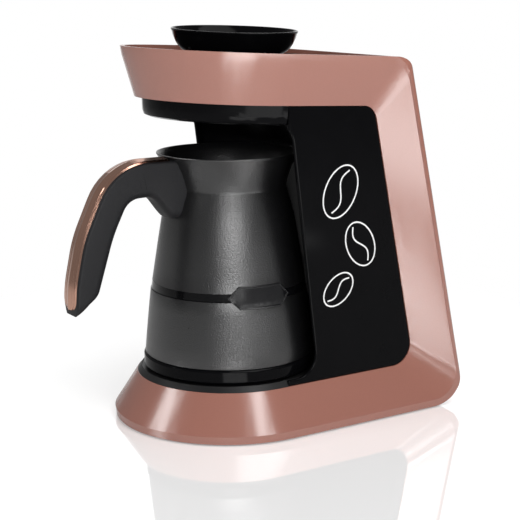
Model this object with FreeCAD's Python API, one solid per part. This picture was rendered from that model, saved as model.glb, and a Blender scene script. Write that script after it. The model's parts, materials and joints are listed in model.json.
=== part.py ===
import FreeCAD, Part
import math
import os

# Electric coffee maker with a lift-off pot. Millimetres, +Z up, front at -Y.
# The model is drawn round the pot axis (x = y = 0) on the table plane z = 0, and
# every piece is moved at the end so that the origin is the middle of the footprint.

V = FreeCAD.Vector

# Base band: half widths of the flared foot and their heights
foot_half = 71.4
foot_draft = 0.6
foot_edge_z = 5.5
shell_low_z = 0.8
deck_half = 57.2
deck_z = 27.5

# Arm band: half widths and heights at the pot axis, and its fall to the rear
arm_low_half = 57.2
arm_crease_half = 65.2
arm_top_half = 66.3
arm_low_z = 193.7
arm_crease_rise = 24.2
arm_top_rise = 29.3
arm_tilt = 2.9
arm_nose_y = 2.0

# Rear of the frame: place at table height and forward lean per mm of height
window_rear_y = 106.6
crease_rear_y = 128.8
shell_rear_y = 135.1
rear_lean = 0.2058
window_low_radius = 13.0
window_top_radius = 10.0
crease_low_radius = 16.0
crease_top_radius = 13.0
shell_low_radius = 22.0
shell_top_radius = 17.0
rear_corner_radius = 6.8
shell_wall = 2.8
roof_wall = 2.1

# Black inner body: side panels, cavity for the pot, hood and deck
panel_face = 57.0
panel_wall = 2.4
hood_nose_y = 6.3
hood_drop = 11.3
hood_wall = 2.2
hood_edge = 3.5
hood_low_radius = 56.1
hood_top_radius = 56.7
mouth_clearance = 4.3841821
cavity_lean = 0.13
cavity_radius = 62.8
cavity_wall = 2.5
cavity_low_fillet = 14.0
cavity_top_fillet = 12.0
deck_rim_z = 31.0
deck_rim_width = 2.8
deck_seat_depth = 0.8

# Pot
pot_mouth_radius = 43.0
pot_mouth_z = 162.2
pot_waist_radius = 35.0
pot_waist_z = 141.5
pot_foot_radius = 51.8
pot_foot_z = 39.5
pot_band_radius = 47.8
pot_shoulder_radius = 40.4
pot_shoulder_z = 123.7
pot_wall = 1.8
pot_floor = 1.6
rest_gap = 0.3
band_z = 79.4
band_height = 5.0
band_depth = 0.6
badge_width = 39.8
badge_height = 13.6
badge_angle = 82.0
badge_proud = 1.1
badge_rim = 1.1
badge_field = 0.5
band_sink = 0.25
skirt_radius = 52.8
skirt_wall = 2.0

# Handle, drawn in the plane x = 0
handle_top_z = 160.3
handle_width = 19.2
handle_root_width = 14.0
handle_reach = 106.2
handle_low_z = 75.0
strip_width = 14.2
strip_depth = 1.2
grip_bevel = 1.6
strip_ridge = 0.7
strip_low_z = 79.0
handle_screw_y = -57.0

# Power coupling in the middle of the base
socket_flange_radius = 20.0
socket_boss_radius = 11.0
socket_boss_z = 35.4
socket_groove_radius = 6.5
coupling_gap = 0.8

# Top panel, start button and lid
panel_sink = 3.0
top_panel_wall = 2.5
top_panel_rear_y = 70.0
button_radius = 8.0
button_y = -46.0
button_gap = 0.35
button_proud = 1.6
lid_y = 4.6
lid_radius = 37.9
lid_foot_radius = 29.0
lid_height = 13.2
lid_clear = 1.9
lid_lean_side = 2.0
lid_lean_back = 1.0

# Underside
foot_pad_radius = 7.5
cover_z = 2.4
cover_wall = 2.2
screw_spots = [(-36, 4), (36, 4), (-40, 58), (40, 58)]
foot_spots = [(-46, -24), (46, -24), (-50, 104), (50, 104)]

# Sensor window under the hood and cord gland in the rear wall
sensor_radius = 7.0
sensor_y = 4.0
gland_x = 40.0
gland_z = 30.0
gland_radius = 6.0
gland_bore_radius = 3.6

# Board behind the liner
carrier_gap = 2.5598179
carrier_wall = 2.5
board_wall = 1.6
deck_overhang = 4.3

tilt_slope = math.tan(math.radians(arm_tilt))


def rounded_path(corners):
    """Edges of a closed outline from (u, v, radius) corners, as point pairs and point triples."""
    stops = []
    count = len(corners)
    for i, (u, v, radius) in enumerate(corners):
        pu, pv, _ = corners[i - 1]
        nu, nv, _ = corners[(i + 1) % count]
        if radius <= 0:
            stops.append([(u, v)])
            continue
        a = math.atan2(pv - v, pu - u)
        b = math.atan2(nv - v, nu - u)
        half = abs((b - a + math.pi) % (2 * math.pi) - math.pi) / 2.0
        reach = radius / math.tan(half)
        start = (u + reach * math.cos(a), v + reach * math.sin(a))
        end = (u + reach * math.cos(b), v + reach * math.sin(b))
        mid_u, mid_v = (start[0] + end[0]) / 2.0 - u, (start[1] + end[1]) / 2.0 - v
        far = math.hypot(mid_u, mid_v)
        depth = (radius / math.sin(half) - radius) / far
        stops.append([start, (u + mid_u * depth, v + mid_v * depth), end])
    return stops


def outline(corners, place):
    """A closed wire through rounded corners, mapped into space by place(u, v)."""
    stops = rounded_path(corners)
    edges = []
    for i, stop in enumerate(stops):
        if len(stop) == 3:
            edges.append(Part.Arc(*[place(*p) for p in stop]).toShape())
        after = stops[(i + 1) % len(stops)]
        a, b = place(*stop[-1]), place(*after[0])
        if a.distanceToPoint(b) > 1e-6:
            edges.append(Part.LineSegment(a, b).toShape())
    return Part.Wire(edges)


def prism(corners, place, way):
    """A solid made by pushing a flat rounded outline along a vector."""
    return Part.Face(outline(corners, place)).extrude(way)


def side_place(x):
    return lambda y, z: V(x, y, z)


def plan_place(z):
    return lambda x, y: V(x, y, z)


def across(corners, half):
    """A side-view outline pushed right across the body, from -half to +half."""
    return prism(corners, side_place(-half), V(2 * half, 0, 0))


def turned(points, angle=360, start=0):
    """A solid of revolution about Z from (r, z) points joined by straight lines."""
    wire = Part.makePolygon([V(r, 0, z) for r, z in points] + [V(points[0][0], 0, points[0][1])])
    solid = Part.Face(wire).revolve(V(0, 0, 0), V(0, 0, 1), angle)
    if start:
        solid.rotate(V(0, 0, 0), V(0, 0, 1), start)
    return solid


def disc(radius, z0, z1, x=0.0, y=0.0):
    return Part.makeCylinder(radius, z1 - z0, V(x, y, z0))


def ring(outer, inner, z0, z1, x=0.0, y=0.0):
    return disc(outer, z0, z1, x, y).cut(disc(inner, z0 - 1, z1 + 1, x, y))


def block(x0, x1, y0, y1, z0, z1):
    return Part.makeBox(x1 - x0, y1 - y0, z1 - z0, V(x0, y0, z0))


def arm_z(rise, y):
    """Height of the arm plane that lies rise above its lower edge, at depth y."""
    return arm_low_z + rise - tilt_slope * y


def on_arm(shape):
    """Move a shape drawn round the origin onto the tilted arm frame."""
    shape.rotate(V(0, 0, 0), V(1, 0, 0), -arm_tilt)
    shape.translate(V(0, arm_nose_y, arm_z(0, arm_nose_y)))
    return shape


def stadium(radius, nose_y, rear_y, z0, z1):
    """A flat slab with a round nose at the front and a straight rear edge."""
    slab = disc(radius, z0, z1, 0, nose_y)
    return slab.fuse(block(-radius, radius, nose_y, rear_y, z0, z1)).removeSplitter()


def regular(radius, sides, u=0.0, v=0.0):
    """Corners of a regular outline whose flats lie at the radius, for small or hidden rounds."""
    reach = radius / math.cos(math.pi / sides)
    angles = [2 * math.pi * (i + 0.5) / sides for i in range(sides)]
    return [(u + reach * math.cos(a), v + reach * math.sin(a), 0) for a in angles]


def peg(radius, z0, z1, x=0.0, y=0.0, sides=16):
    """A small or hidden round with flat sides, standing along Z."""
    return prism(regular(radius, sides, x, y), plan_place(z0), V(0, 0, z1 - z0))


def peg_ring(outer, inner, z0, z1, sides=32):
    return peg(outer, z0, z1, sides=sides).cut(peg(inner, z0 - 1, z1 + 1, sides=sides))


def rod(radius, y0, y1, x, z, sides=16):
    """A flat-sided round along Y."""
    return prism(regular(radius, sides, x, z), lambda u, w: V(u, y0, w), V(0, y1 - y0, 0))


def rear_line(y_at_table, z):
    return y_at_table - rear_lean * z


def frame_outline(low_z, top_rise, rear_y, low_radius, top_radius, front_y):
    """Side-view outline: base line, leaning rear line and tilted top line."""
    top_y = (rear_y - rear_lean * arm_z(top_rise, 0)) / (1 - rear_lean * tilt_slope)
    return [
        (front_y, low_z, 0),
        (rear_line(rear_y, low_z), low_z, low_radius),
        (top_y, arm_z(top_rise, top_y), top_radius),
        (front_y, arm_z(top_rise, front_y), 0),
    ]


def side_pocket(shift, rounded):
    """The flared picture-frame pocket of the right side, moved inwards by shift."""
    front = -5.0
    low_in, top_in = (window_low_radius, window_top_radius) if rounded else (0, 0)
    low_out, top_out = (crease_low_radius, crease_top_radius) if rounded else (0, 0)
    far_out = top_out + 4 if rounded else 0
    low_z, top_rise = foot_edge_z - 0.6, arm_top_rise + 1.0
    window = frame_outline(deck_z, 0, window_rear_y, low_in, top_in, front)
    crease = frame_outline(foot_edge_z, arm_crease_rise, crease_rear_y, low_out, top_out, front)
    beyond = frame_outline(low_z, top_rise, crease_rear_y + 0.6, low_out, far_out, front)
    wires = [
        outline(window, side_place(deck_half - shift)),
        outline(crease, sloped_place(foot_half - 0.1, arm_crease_half, shift)),
        outline(beyond, sloped_place(foot_half + 0.5, arm_top_half + 0.2, shift)),
        outline(beyond, side_place(foot_half + 20)),
    ]
    return Part.makeLoft(wires, True, True)


def sloped_place(low_half, high_half, shift):
    """Places a side view on a wall that draws in from the foot's edge to the arm's crease."""
    crease_top = arm_z(arm_crease_rise, 90)
    fall = (low_half - high_half) / (crease_top - foot_edge_z)
    return lambda y, z: V(max(high_half, low_half - fall * (z - foot_edge_z)) - shift, y, z)


def both_sides(shape):
    return [shape, shape.mirror(V(0, 0, 0), V(1, 0, 0))]


def stacked(sections):
    """A flat-sided solid through stacked outlines that run anticlockwise, with as many corners each."""
    ends = [sections[0][::-1], sections[-1]]
    faces = [Part.Face(Part.makePolygon(end + end[:1])) for end in ends]
    for low, high in zip(sections, sections[1:]):
        for i in range(len(low)):
            wall = [low[i - 1], low[i], high[i], high[i - 1]]
            faces.append(Part.Face(Part.makePolygon(wall + wall[:1])))
    return Part.Solid(Part.Shell(faces))


def tapered_block(inset, corner_cut):
    """The body's taper in plan: sides that draw in above the foot and a leaning rear wall."""
    sections = []
    top = arm_z(arm_top_rise, 0)
    for z in (0.0, foot_edge_z, top + 8):
        draw_in = max(0.0, z - foot_edge_z) * (foot_half - arm_top_half) / (top - foot_edge_z)
        half = (foot_half - foot_draft if z < foot_edge_z else foot_half) - draw_in - inset
        rear = rear_line(shell_rear_y, z) - inset
        corners = [(-half, -1), (half, -1), (half, rear - corner_cut)]
        if corner_cut > 0:
            corners += [(half - corner_cut, rear), (corner_cut - half, rear)]
        corners.append((-half, rear - corner_cut))
        sections.append([V(x, y, z) for x, y in corners])
    return stacked(sections)


def rear_corner(edge):
    """True for the upright edges where the sides meet the rear wall."""
    box = edge.BoundBox
    return box.ZLength > 3 and box.YMin > 60 and min(abs(box.XMin), abs(box.XMax)) > 60


def nose_line(rise):
    """A point of the line on which the arm's straight sides meet its round nose."""
    tilt = math.radians(arm_tilt)
    up = rise / math.cos(tilt)
    return (arm_nose_y + up * math.sin(tilt), arm_z(0, arm_nose_y) + up * math.cos(tilt), 0)


def frame_body(inset, low_z, base_roof_z, arm_floor, rounded):
    """The filled C-shaped body, shrunk by inset; used for the shell and for its hollow."""
    plan = tapered_block(inset, 0 if rounded else rear_corner_radius * 0.8)
    if rounded:
        plan = plan.makeFillet(rear_corner_radius, [e for e in plan.Edges if rear_corner(e)])
    top_rise = arm_top_rise - inset
    side = frame_outline(low_z, top_rise, shell_rear_y - inset, shell_low_radius, shell_top_radius, 0)
    side = side[:3] + [nose_line(top_rise), nose_line(0), (0, arm_low_z, 0)]
    body = plan.common(across(side, foot_half + 20))
    for pocket in both_sides(side_pocket(inset, rounded)):
        body = body.cut(pocket)
    slope = (foot_half - deck_half) / (deck_z - foot_edge_z)
    foot = foot_half - inset
    base_nose = turned(
        [(0, low_z), (foot_half - foot_draft - inset, low_z), (foot, foot_edge_z),
         (foot - slope * (base_roof_z - foot_edge_z), base_roof_z), (0, base_roof_z)],
        180,
        180,
    )
    flare = (arm_crease_half - arm_low_half) / arm_crease_rise
    rise_top = arm_top_rise if inset == 0 else arm_top_rise + 4
    arm_nose = turned(
        [(0, arm_floor), (arm_low_half - inset + flare * arm_floor, arm_floor),
         (arm_crease_half - inset, arm_crease_rise), (arm_top_half - inset, rise_top), (0, rise_top)],
        180,
        180,
    )
    return body, base_nose, on_arm(arm_nose)


pieces = {}


def keep(name, shape):
    pieces[name] = shape


def make_outer_shell():
    body, base_nose, arm_nose = frame_body(0.0, shell_low_z, deck_z, 0.0, True)
    inside = frame_outline(deck_z, 0, window_rear_y, window_low_radius, window_top_radius, -1)
    window = across(inside, foot_half + 20)
    filled = body.cut(window).fuse([base_nose, arm_nose])
    hollow, base_hollow, arm_hollow = frame_body(shell_wall, -1.0, deck_z - roof_wall, roof_wall, False)
    base_roof = block(-90, 90, -1, 96, deck_z - roof_wall, deck_z + 1)
    arm_floor_cut = on_arm(block(-90, 90, -1, 62, -1, roof_wall))
    shell = filled.cut(hollow.cut([base_roof, arm_floor_cut]))
    shell = shell.cut([base_hollow, arm_hollow])
    shell = shell.cut(stadium(deck_half - 3.4, 0, 80, deck_z - 6, deck_z + 3))
    shell = shell.cut(on_arm(stadium(arm_low_half - 9.0, hood_nose_y, 50, -3, 6)))
    panel_seat = arm_top_rise - panel_sink - top_panel_wall
    shell = shell.cut(on_arm(stadium(arm_top_half - shell_wall, 0, top_panel_rear_y, panel_seat, 60)))
    keep("outer_shell", shell.cut(gland_barrel()))


def make_panels_and_housing():
    cavity = cavity_outline()
    window = frame_outline(deck_z, 0, window_rear_y, window_low_radius, window_top_radius, hood_nose_y)
    slab = prism(window, side_place(panel_face - panel_wall), V(panel_wall, 0, 0))
    slab = slab.cut(across(cavity, 90))
    keep("side_panel_right", slab)
    keep("side_panel_left", slab.mirror(V(0, 0, 0), V(1, 0, 0)))


def ceiling_z(y):
    """Height of the hood's flat underside at depth y."""
    return arm_z(-hood_drop / math.cos(math.radians(arm_tilt)), y)


def cavity_top_y():
    """Where the cavity's leaning rear edge meets the hood's tilted underside."""
    rise = ceiling_z(0) - deck_rim_z
    return (cavity_low_y() - cavity_lean * rise) / (1 - cavity_lean * tilt_slope)


def cavity_outline():
    """Side view of the space for the pot: deck, leaning rear edge with fillets, tilted ceiling."""
    top_y = cavity_top_y()
    return [
        (-120, deck_rim_z, 0),
        (cavity_low_y(), deck_rim_z, cavity_low_fillet),
        (top_y, ceiling_z(top_y), cavity_top_fillet),
        (-120, ceiling_z(-120), 0),
    ]


def cavity_low_y():
    """Depth of the liner's front edges at the deck, from the room that the pot's mouth needs."""
    bulge = cavity_radius - math.sqrt(cavity_radius ** 2 - panel_face ** 2)
    return pot_mouth_radius + mouth_clearance - bulge + cavity_lean * (pot_mouth_z - deck_rim_z)


def inner_half():
    return panel_face - panel_wall


def make_column_liner():
    """The concave wall behind the pot: one round section, moved forwards as it rises."""
    foot = liner_section(cavity_low_y(), lambda y: deck_rim_z)
    head = liner_section(cavity_top_y(), ceiling_z)
    keep("column_liner", Part.makeLoft([foot, head], True, True))


def liner_section(front_y, height):
    """A section of the liner: two arcs round one centre, joined along the side panels."""
    half = inner_half()
    centre_y = front_y - math.sqrt(cavity_radius ** 2 - panel_face ** 2)
    arcs = []
    for radius in (cavity_radius, cavity_radius + cavity_wall):
        edge_y = centre_y + math.sqrt(radius ** 2 - half ** 2)
        stops = [(-half, edge_y), (0, centre_y + radius), (half, edge_y)]
        arcs.append([V(x, y, height(y)) for x, y in stops])
    inner, outer = arcs
    return Part.Wire([
        Part.Arc(*inner).toShape(),
        Part.LineSegment(inner[2], outer[2]).toShape(),
        Part.Arc(*reversed(outer)).toShape(),
        Part.LineSegment(outer[0], inner[0]).toShape(),
    ])


def liner_rear_y():
    """The rearmost depth of the liner's outer face, at the deck."""
    return cavity_low_y() + cavity_radius - math.sqrt(cavity_radius ** 2 - panel_face ** 2) + cavity_wall


def carrier_rear_y():
    """Depth of the face on which the board is screwed."""
    return liner_rear_y() + carrier_gap + carrier_wall


def make_arm_hood():
    """The hood under the arm: a tub with a tapered round nose and a softened lower edge."""
    low, wall = -hood_drop, hood_wall
    outer = turned([(0, low), (hood_low_radius - hood_edge, low), (hood_low_radius - 1.0, low + 1.0),
                    (hood_low_radius, low + hood_edge), (hood_top_radius, 0), (0, 0)], 180, 180)
    inner = turned([(0, low + wall), (hood_low_radius - hood_edge, low + wall),
                    (hood_low_radius - wall, low + hood_edge), (hood_top_radius - wall, 1), (0, 1)], 180, 180)
    nose_y = hood_nose_y - arm_nose_y
    for shape in (outer, inner):
        shape.translate(V(0, nose_y, 0))
    rear_y = cavity_radius - 6
    rear = block(-inner_half(), inner_half(), nose_y, rear_y, low, 0)
    rear_hollow = block(-inner_half() + wall, inner_half() - wall, nose_y, rear_y - wall, low + wall, 1)
    hood = outer.fuse(rear).cut(inner.fuse(rear_hollow))
    hood = hood.cut(peg(sensor_radius, low - 1, low + 6, 0, sensor_y, 24))
    keep("arm_hood", on_arm(hood).cut(pieces["outer_shell"]))
    keep("sensor_window", on_arm(peg(sensor_radius, low - 0.6, low + 5, 0, sensor_y, 24)))


def make_deck():
    """The black deck, the power socket in its middle and the nut that holds the socket."""
    bevel = deck_rim_width
    nose = [(0, deck_z), (panel_face, deck_z), (panel_face - bevel, deck_rim_z), (0, deck_rim_z)]
    nose = turned(nose, 180, 180)
    neck = [(-panel_face, deck_z, 0), (panel_face, deck_z, 0), (panel_face - bevel, deck_rim_z, 0),
            (bevel - panel_face, deck_rim_z, 0)]
    neck = prism(neck, lambda x, z: V(x, 0, z), V(0, hood_nose_y, 0))
    rear_y = carrier_rear_y() + deck_overhang
    rear = block(-inner_half(), inner_half(), hood_nose_y, rear_y, deck_z, deck_rim_z)
    spigot = stadium(deck_half - 3.4 - rest_gap, 0, cavity_radius, deck_z - 2.2, deck_z)
    bosses = [peg(3.6, cover_z + cover_wall, deck_z, x, y, 12) for x, y in screw_spots]
    deck = nose.fuse([neck, rear, spigot] + bosses).removeSplitter()
    seat_floor = deck_rim_z - deck_seat_depth
    deck = deck.cut(disc(skirt_radius + 1.6, seat_floor, deck_rim_z + 1))
    deck = deck.cut(peg(socket_flange_radius, deck_z, deck_rim_z + 1, sides=48))
    deck = deck.cut(peg(socket_flange_radius - 3, deck_z - 5, deck_rim_z + 1, sides=48))
    keep("base_deck", deck.cut([peg(1.4, 0, 16, x, y, 8) for x, y in screw_spots]))
    barrel_z = deck_z - 10
    flange = peg(socket_flange_radius, deck_z, seat_floor, sides=48)
    barrel = peg(socket_flange_radius - 3, barrel_z, deck_z, sides=48)
    boss = peg(socket_boss_radius, seat_floor, socket_boss_z, sides=32)
    socket = flange.fuse([barrel, boss])
    groove = peg_ring(socket_groove_radius + 2, socket_groove_radius, deck_z - 6, socket_boss_z + 1)
    keep("power_socket", socket.cut([groove, peg(1.6, deck_z - 6, socket_boss_z + 1)]))
    contact_ring = peg_ring(socket_groove_radius + 2, socket_groove_radius + 1.4, deck_z - 6, socket_boss_z - 2.5)
    keep("socket_contacts", Part.makeCompound([contact_ring, peg(1.6, deck_z - 6, deck_z + 1)]))
    nut = peg(socket_flange_radius + 2, deck_z - 5.2, deck_z - 2.2, sides=6)
    keep("socket_nut", nut.cut(peg(socket_flange_radius - 3, 0, deck_z, sides=48)))


def pot_side():
    """Half profile of the pot's outside, from the foot over the band and the waist to the mouth."""
    return [(pot_foot_radius, pot_foot_z), (pot_band_radius, band_z), (pot_shoulder_radius, pot_shoulder_z),
            (pot_waist_radius, pot_waist_z), (pot_mouth_radius, pot_mouth_z)]


def revolve_pot(offset, top_z):
    """The filled pot with its side moved inwards by offset, up to a height at or above its mouth."""
    side = [(r - offset, z) for r, z in pot_side()]
    cap = [(side[-1][0], top_z)] if top_z > pot_mouth_z else []
    return turned([(0, pot_foot_z)] + side + cap + [(0, top_z)])


def pot_hollow():
    """The space inside the pot, with flat sides that stay within a tenth of a millimetre of round."""
    rims = [(pot_foot_radius, pot_foot_z + pot_floor)] + pot_side()[1:] + [(pot_mouth_radius, pot_mouth_z + 2)]
    return stacked([[V(x, y, z) for x, y, _ in regular(r - pot_wall, 48)] for r, z in rims])


def make_pot():
    """The steel vessel, with its groove, and the trim ring with the bare badge plate that sits in it."""
    filled = revolve_pot(0, pot_mouth_z)
    lip = turned([(pot_mouth_radius - 0.4, pot_mouth_z + 1), (pot_mouth_radius + 1, pot_mouth_z + 1),
                  (pot_mouth_radius + 1, pot_mouth_z - 1.6)])
    groove = ring(60, pot_band_radius - band_depth - 0.5, band_z, band_z + band_height)
    keep("pot_body", filled.cut([pot_hollow(), groove, lip]))
    band = groove.common(revolve_pot(band_sink, pot_mouth_z))
    keep("pot_band", band)
    badge = badge_prism(0).common(revolve_pot(-badge_proud, pot_mouth_z)).cut(filled)
    field = badge_prism(-badge_rim).cut(revolve_pot(-badge_field, pot_mouth_z))
    keep("pot_badge", badge.cut(field))


def badge_prism(offset):
    """A long hexagon pushed out along the radius at the badge's angle."""
    half, high = badge_width / 2.0 + offset, badge_height / 2.0 + offset
    mid_z = band_z + band_height / 2.0
    shoulder = half - high
    points = [(-half, 0), (-shoulder, high), (shoulder, high), (half, 0), (shoulder, -high), (-shoulder, -high)]
    corners = [(u, mid_z + v, 0) for u, v in points]
    shape = prism(corners, lambda u, z: V(u, -30, z), V(0, -60, 0))
    shape.rotate(V(0, 0, 0), V(0, 0, 1), badge_angle)
    return shape


def make_pot_underside():
    """The pot's heated base: plate, ring element, thermostat, skirt and the moving half of the coupling."""
    rest_z = deck_rim_z - deck_seat_depth + rest_gap
    plate_z = pot_foot_z - 2.2
    keep("heater_plate", peg(pot_foot_radius - 3.2, plate_z, pot_foot_z, sides=48))
    skirt = turned([(0, rest_z), (skirt_radius - 1.6, rest_z), (skirt_radius, rest_z + 1.8),
                    (skirt_radius, pot_foot_z - 1.0), (skirt_radius - 1.0, pot_foot_z), (0, pot_foot_z)])
    skirt = skirt.cut(peg(skirt_radius - skirt_wall - 0.8, rest_z + skirt_wall, pot_foot_z + 1, sides=48))
    coupling = socket_boss_radius + coupling_gap
    keep("pot_skirt", skirt.cut(peg(coupling + 3.2, rest_z - 1, rest_z + skirt_wall + 1, sides=32)))
    cup = peg(coupling + 3.2, rest_z, plate_z, sides=32)
    keep("pot_connector", cup.cut(peg(coupling, rest_z - 1, socket_boss_z + coupling_gap, sides=32)))
    roof_z = socket_boss_z + coupling_gap
    blade = peg_ring(socket_groove_radius + 0.95, socket_groove_radius + 0.45, rest_z + 1.5, roof_z)
    pin = peg(1.1, rest_z + 1.5, roof_z)
    keep("pot_contacts", Part.makeCompound([blade, pin]))
    element = peg_ring(36.0, 32.0, plate_z - 4.0, plate_z)
    keep("heater_element", element.cut(block(-4, 4, 20, 50, 0, plate_z + 1)))
    keep("pot_thermostat", block(-7, 7, 18, 27, plate_z - 3.6, plate_z))


def handle_outline():
    """Side view of the grip: along the top, down its outer line, back up its inner line to the pot."""
    return [
        (-28.0, handle_top_z, 0),
        (-80.3, handle_top_z, 35.0),
        (-100.1, 118.3, 80.0),
        (-handle_reach, 90.1, 80.0),
        (-handle_reach, handle_low_z, 2.5),
        (-90.2, 83.5, 9.0),
        (-80.4, 119.3, 90.0),
        (-70.3, 139.2, 11.5),
        (-56.3, 139.2, 13.0),
        (-28.0, 111.5, 0),
    ]


def make_handle():
    """Grip, the polished strip let into its outer face, and the tongue and screw that hold it."""
    half = handle_width / 2.0
    grip = prism(handle_outline(), side_place(-half), V(handle_width, 0, 0))
    grip = grip.makeChamfer(grip_bevel, [e for e in grip.Edges if abs(abs(e.BoundBox.XMin) - half) < 1e-3
                                         and e.BoundBox.XLength < 1e-3 and e.BoundBox.YMax < -28.001])
    root = handle_root_width / 2.0
    plan = [(-half, -130, 0), (half, -130, 0), (half, -66, 30), (root, -44, 0), (root, -10, 0),
            (-root, -10, 0), (-root, -44, 0), (-half, -66, 30)]
    grip = grip.common(prism(plan, plan_place(0), V(0, 0, 200)))
    pot = revolve_pot(0, pot_mouth_z)
    strip = ridged_strip().cut(revolve_pot(0, pot_mouth_z + 3))
    tongue = block(-5, 5, -64, -30, handle_top_z - 15, handle_top_z - 11).cut(pot)
    seat_z = handle_top_z - strip_depth
    head_z = seat_z - 2.2
    screw = peg(2.6, head_z, seat_z, 0, handle_screw_y, 12)
    screw = screw.fuse(peg(1.5, handle_top_z - 16, head_z, 0, handle_screw_y, 8))
    keep("handle_grip", grip.cut([pot, strip, tongue, screw]))
    keep("handle_strip", strip)
    keep("handle_bracket", tongue.cut(screw))
    keep("handle_screw", screw)


def ridged_strip():
    """A strip with a low ridge along its middle, run along the handle's outer line to a round end."""
    half = strip_width / 2.0
    section = [(-half, -strip_depth), (half, -strip_depth), (half, 0.1), (0, strip_ridge), (-half, 0.1)]
    stops = rounded_path([(-20.0, handle_top_z, 0)] + handle_outline()[1:6])[:-1]
    runs = []
    for stop, after in zip(stops, stops[1:]):
        runs.append((stop[-1], after[0], None))
        if len(after) == 3:
            runs.append((after[0], after[2], after[1]))
    solids = [strip_run(section, *run) for run in runs]
    strip = solids[0].fuse(solids[1:]).removeSplitter()
    gate = block(-half, half, -130, 0, strip_low_z + half, 200)
    round_end = Part.makeCylinder(half, 130, V(0, 0, strip_low_z + half), V(0, -1, 0))
    return strip.common(gate.fuse(round_end))


def strip_run(section, start, end, middle):
    """One straight or round length of the strip, between two points of the side view."""
    if middle is None:
        along = V(0, end[0] - start[0], end[1] - start[1])
        return place_section(section, start, along).extrude(along)
    centre = Part.Arc(V(0, *start), V(0, *middle), V(0, *end)).toShape().Curve.Center
    first, last = V(0, *start) - centre, V(0, *end) - centre
    turn = math.degrees(first.getAngle(last))
    along = V(0, -first.z, first.y)
    return place_section(section, start, along).revolve(centre, V(1, 0, 0), turn)


def place_section(section, start, along):
    """The strip's cross-section at a point of its line, square to it, with its ridge outwards."""
    way = V(along).normalize()
    outwards = V(0, way.z, -way.y)
    points = [V(x, start[0], start[1]) + outwards * out for x, out in section]
    return Part.Face(Part.makePolygon(points + points[:1]))


def make_top():
    """Top panel, start button with its guide, spring, switch and board, and the indicator's light pipe."""
    seat = arm_top_rise - panel_sink
    under = seat - top_panel_wall
    panel = stadium(arm_top_half - shell_wall, 0, top_panel_rear_y, under, seat)
    hole = disc(button_radius + button_gap, under - 1, seat + 1, 0, button_y)
    lens_y = button_y + 14
    keep("top_panel", on_arm(panel.cut([hole, peg(1.6, under - 1, seat + 1, 0, lens_y)])))
    keep("indicator_lens", on_arm(peg(1.6, seat - 12.8, seat + 0.2, 0, lens_y)))
    top = seat + button_proud
    cap = turned([(0, seat - 4.0), (button_radius, seat - 4.0), (button_radius, top - 0.7),
                  (button_radius - 0.7, top), (0, top)])
    cap.translate(V(0, button_y, 0))
    stem = peg(2.5, seat - 9.0, seat - 4.0, 0, button_y)
    flange = peg(button_radius + 1.2, seat - 4.0, under - rest_gap, 0, button_y, 24)
    keep("start_button", on_arm(cap.fuse([stem, flange])))
    floor = seat - 9.8
    keep("button_spring", on_arm(coil_spring(4.0, 0.35, floor, seat - 4.0, button_y)))
    keep("button_board", on_arm(block(-15, 15, button_y - 8, button_y + 22, seat - 14.4, seat - 12.8)))
    keep("start_switch", on_arm(block(-3.1, 3.1, button_y - 3.1, button_y + 3.1, seat - 12.8, seat - 11.0)))
    side = button_radius + 3.2
    guide = block(-side, side, button_y - 8, button_y + 11.2, floor - 1.2, under)
    guide = guide.fuse(block(-side, side, button_y - side, button_y - 8, floor + 2, under))
    guide = guide.cut(peg(button_radius + 1.6, floor, under + 1, 0, button_y, 24))
    keep("button_guide", on_arm(guide.cut(peg(3.0, floor - 2, under, 0, button_y))))


def coil_spring(radius, wire, z0, z1, y):
    """A compression spring of square-set wire, with one flat turn at each end."""
    steps, turns = 12, 4.0
    count = int(steps * turns)
    rise = (z1 - z0 - 2 * wire) / count
    spring = None
    for i in range(count):
        a0, a1 = 2 * math.pi * i / steps, 2 * math.pi * (i + 1) / steps
        sections = []
        for a, z in ((a0, z0 + wire + rise * i), (a1, z0 + wire + rise * (i + 1))):
            corners = [(radius + du, z + dv) for du, dv in ((-wire, 0), (0, -wire), (wire, 0), (0, wire))]
            points = [V(r * math.cos(a), y + r * math.sin(a), h) for r, h in corners]
            sections.append(Part.makePolygon(points + points[:1]))
        piece = Part.makeLoft(sections, True, True)
        spring = piece if spring is None else spring.fuse(piece)
    return spring


def make_lid():
    """The shallow lid, parked hollow side up and leaning a little on the top panel."""
    dish = turned([(0, 0), (lid_foot_radius, 0), (lid_radius - 2.0, 8.2), (lid_radius, lid_height),
                   (lid_radius - 1.4, lid_height), (lid_radius - 6.5, 5.6), (lid_foot_radius - 6.0, 2.2), (0, 2.2)])
    dish.rotate(V(0, 0, 0), V(0, 1, 0), lid_lean_side)
    dish.rotate(V(0, 0, 0), V(1, 0, 0), -lid_lean_back)
    dish.translate(V(0, lid_y, arm_z(arm_top_rise - panel_sink, lid_y) + lid_clear))
    keep("pot_lid", dish)


def make_underside():
    """Bottom cover, the four feet under it and the screws that clamp it to the deck."""
    hollow, nose, _ = frame_body(shell_wall, -1.0, deck_z - roof_wall, roof_wall, False)
    rear_slab = block(-90, 90, -1, 160, cover_z, cover_z + cover_wall)
    front_slab = block(-90, 90, -90, 0, cover_z, cover_z + cover_wall)
    cover = hollow.common(rear_slab).fuse(nose.common(front_slab)).removeSplitter()
    cover = cover.cut([pieces["outer_shell"]] + [peg(1.4, 0, 16, x, y, 8) for x, y in screw_spots])
    keep("bottom_cover", cover)
    keep("rubber_feet", Part.makeCompound([peg(foot_pad_radius, 0, cover_z, x, y, 24) for x, y in foot_spots]))
    screws = []
    for x, y in screw_spots:
        head = peg(2.8, cover_z - 1.2, cover_z, x, y, 12)
        screws.append(head.fuse(peg(1.4, cover_z, 14, x, y, 8)))
    keep("cover_screws", Part.makeCompound(screws))


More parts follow.
